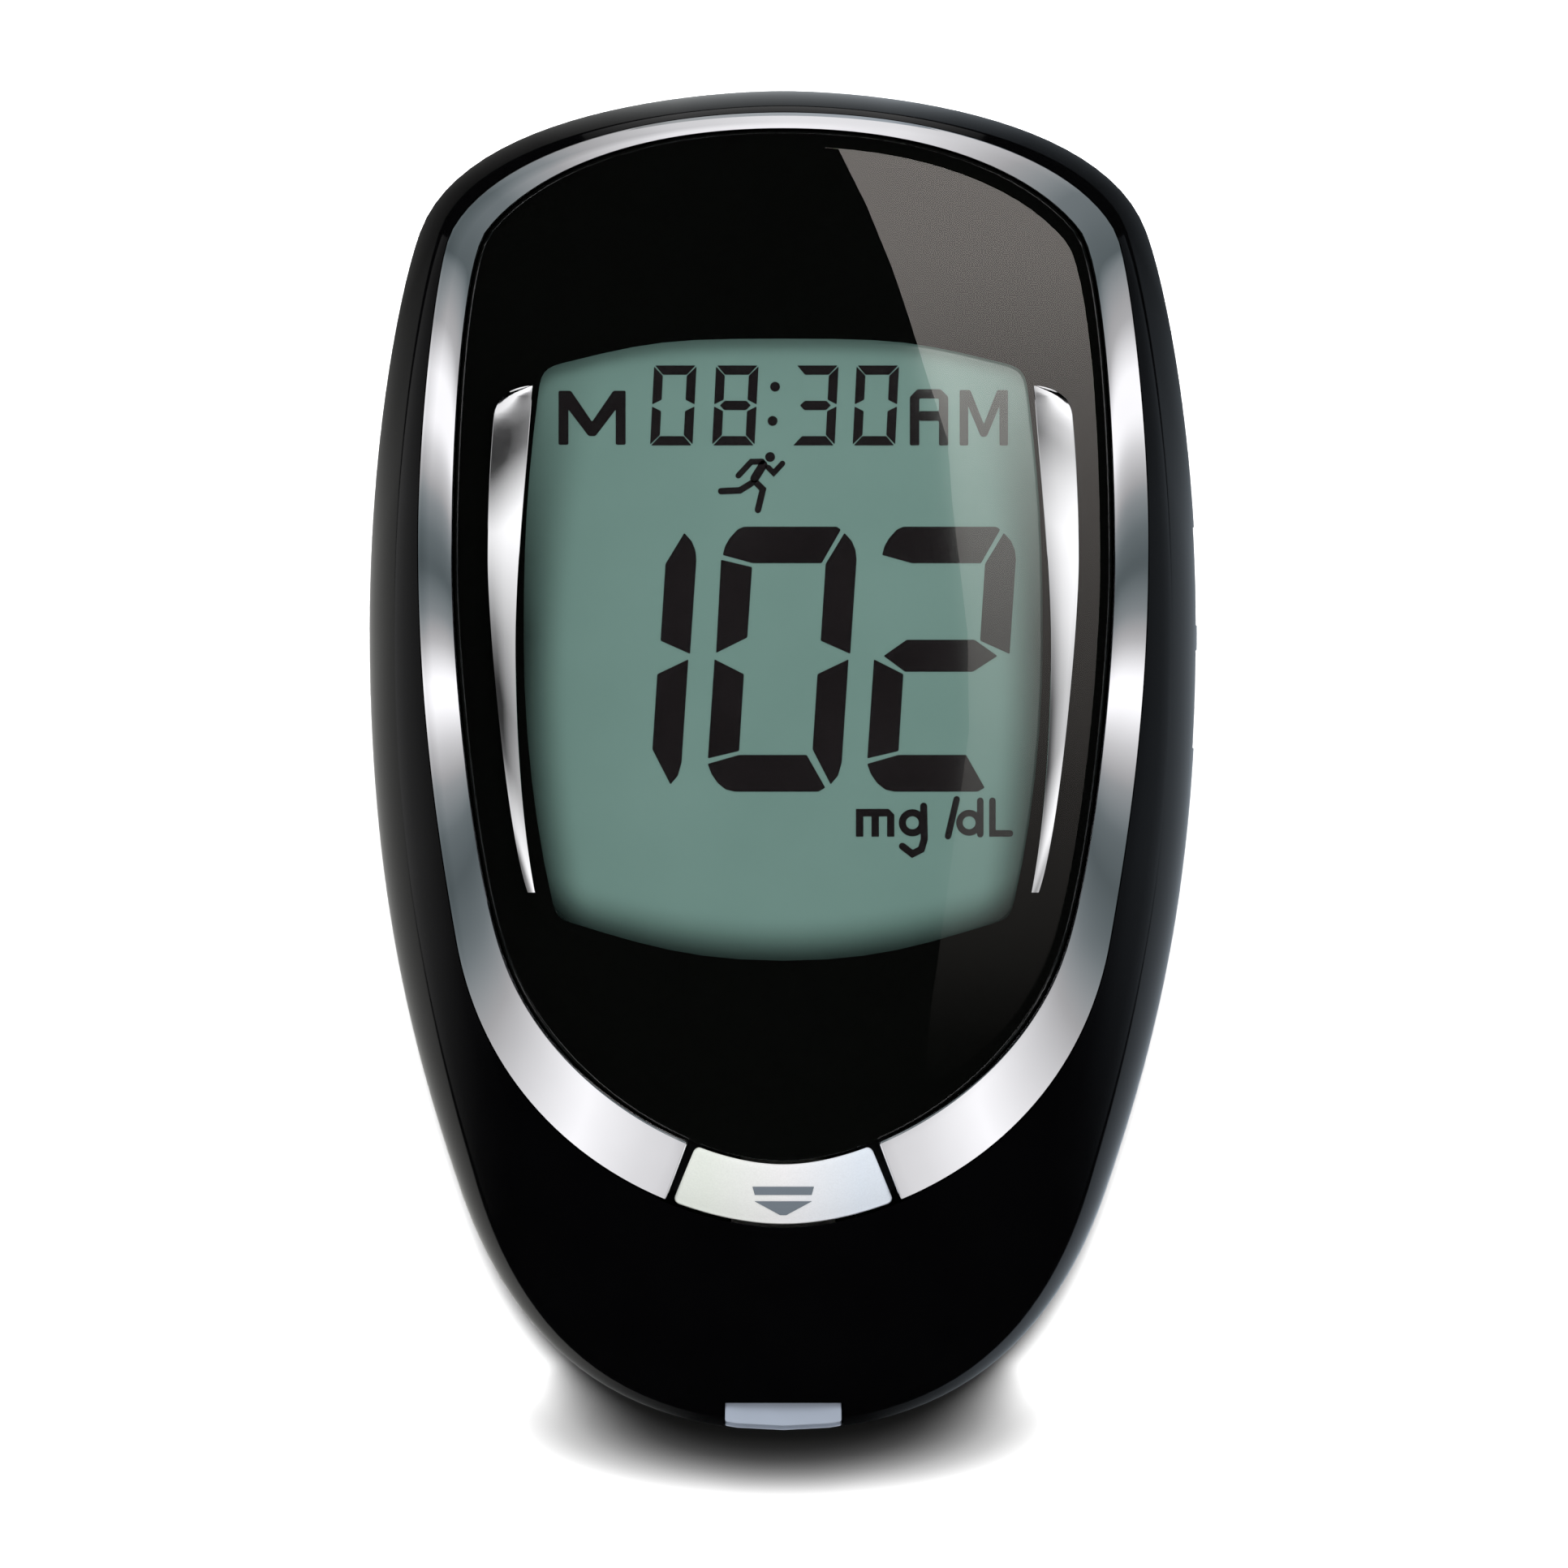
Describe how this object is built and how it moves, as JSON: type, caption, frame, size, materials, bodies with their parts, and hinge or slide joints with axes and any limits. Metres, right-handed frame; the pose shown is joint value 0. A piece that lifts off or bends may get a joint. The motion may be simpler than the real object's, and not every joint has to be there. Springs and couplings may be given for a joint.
{
  "type": "blood glucose meter",
  "caption": "Egg-shaped hand-held blood glucose meter with a black window, chrome ring, display, eject button, strip port and battery door.",
  "frame": {"origin": "middle of the bounding box at the flat back, the meter lying on its back with the display up", "axes": "+Y towards the top end, away from the strip port; +Z out of the display; +X to the right of a reader"},
  "size_m": [0.054, 0.0874, 0.0175],
  "materials": {
    "gloss_shell": "high gloss black",
    "ring_chrome": "satin chrome with soft bands",
    "clear_window": "clear, hard coated",
    "black_print": "black print behind the window",
    "inlay_chrome": "polished",
    "adhesive": "matte foam tape",
    "chassis_plastic": "fine texture",
    "lcd_film": "satin polarising film",
    "lcd_glass": "clear glass",
    "lcd_backing": "grey-green reflective film",
    "carrier_plastic": "fine texture",
    "connector_rubber": "striped conductive rubber",
    "board_laminate": "green solder mask",
    "chip_epoxy": "matte moulding compound",
    "crystal_can": "drawn can",
    "capacitor_body": "ceramic",
    "resistor_body": "ceramic",
    "buzzer_case": "matte",
    "port_grey": "satin light grey",
    "connector_nylon": "natural nylon",
    "contact_gold": "gold plated",
    "slider_acetal": "natural acetal",
    "spring_steel": "drawn wire",
    "pearl_button": "pearl white",
    "key_plastic": "satin black",
    "switch_body": "moulded",
    "holder_plastic": "fine texture",
    "cell_steel": "brushed can",
    "contact_nickel": "nickel plated",
    "door_gloss": "fine texture black",
    "screw_steel": "zinc plated",
    "label_film": "bare silver label"
  },
  "bodies": {
    "root": {"top_case": "gloss_shell", "back_case": "gloss_shell", "trim_ring": "ring_chrome", "display_window": "clear_window", "window_mask": "black_print", "window_adhesive": "adhesive", "accent_left": "inlay_chrome", "accent_right": "inlay_chrome", "display_frame": "chassis_plastic", "lcd_polariser": "lcd_film", "lcd_front_glass": "lcd_glass", "lcd_rear_glass": "lcd_glass", "lcd_reflector": "lcd_backing", "lcd_carrier": "carrier_plastic", "connector_upper": "connector_rubber", "connector_lower": "connector_rubber", "main_board": "board_laminate", "processor_chip": "chip_epoxy", "signal_chip": "chip_epoxy", "timing_crystal": "crystal_can", "chip_capacitors": "capacitor_body", "chip_resistors": "resistor_body", "piezo_buzzer": "buzzer_case", "strip_port_guide": "port_grey", "strip_connector": "connector_nylon", "strip_contacts": "contact_gold", "ejector_spring": "spring_steel", "side_switches": "switch_body", "battery_holder": "holder_plastic", "coin_cell": "cell_steel", "battery_contact_top": "contact_gold", "battery_contact_side": "contact_nickel", "case_screws": "screw_steel", "board_screws": "screw_steel", "rating_label": "label_film"},
    "eject_button": {"eject_button": "pearl_button"},
    "strip_ejector": {"strip_ejector": "slider_acetal"},
    "side_key_up": {"side_key_up": "key_plastic"},
    "side_key_down": {"side_key_down": "key_plastic"},
    "battery_door": {"battery_door": "door_gloss"}
  },
  "joints": [
    {"name": "eject_press", "type": "slide", "parent": "root", "child": "eject_button", "axis": [0, 0, -1], "range_m": [0, 0.0012], "stiffness_N_per_m": 800, "springref_m": -0.001},
    {"name": "ejector_slide", "type": "slide", "parent": "root", "child": "strip_ejector", "axis": [0, -1, 0], "range_m": [0, 0.0024], "deforming": ["ejector_spring"]},
    {"name": "key_up_press", "type": "slide", "parent": "root", "child": "side_key_up", "axis": [-1, 0, 0], "range_m": [0, 0.0004], "stiffness_N_per_m": 1500, "springref_m": -0.0005},
    {"name": "key_down_press", "type": "slide", "parent": "root", "child": "side_key_down", "axis": [-1, 0, 0], "range_m": [0, 0.0004], "stiffness_N_per_m": 1500, "springref_m": -0.0005},
    {"name": "door_hinge", "type": "hinge", "parent": "root", "child": "battery_door", "pos_m": [0, 0.02, 0.002], "axis": [1, 0, 0], "range_deg": [0, 75]}
  ],
  "couplings": [
    {"joint": "ejector_slide", "follows": "eject_press", "ratio": 2}
  ]
}
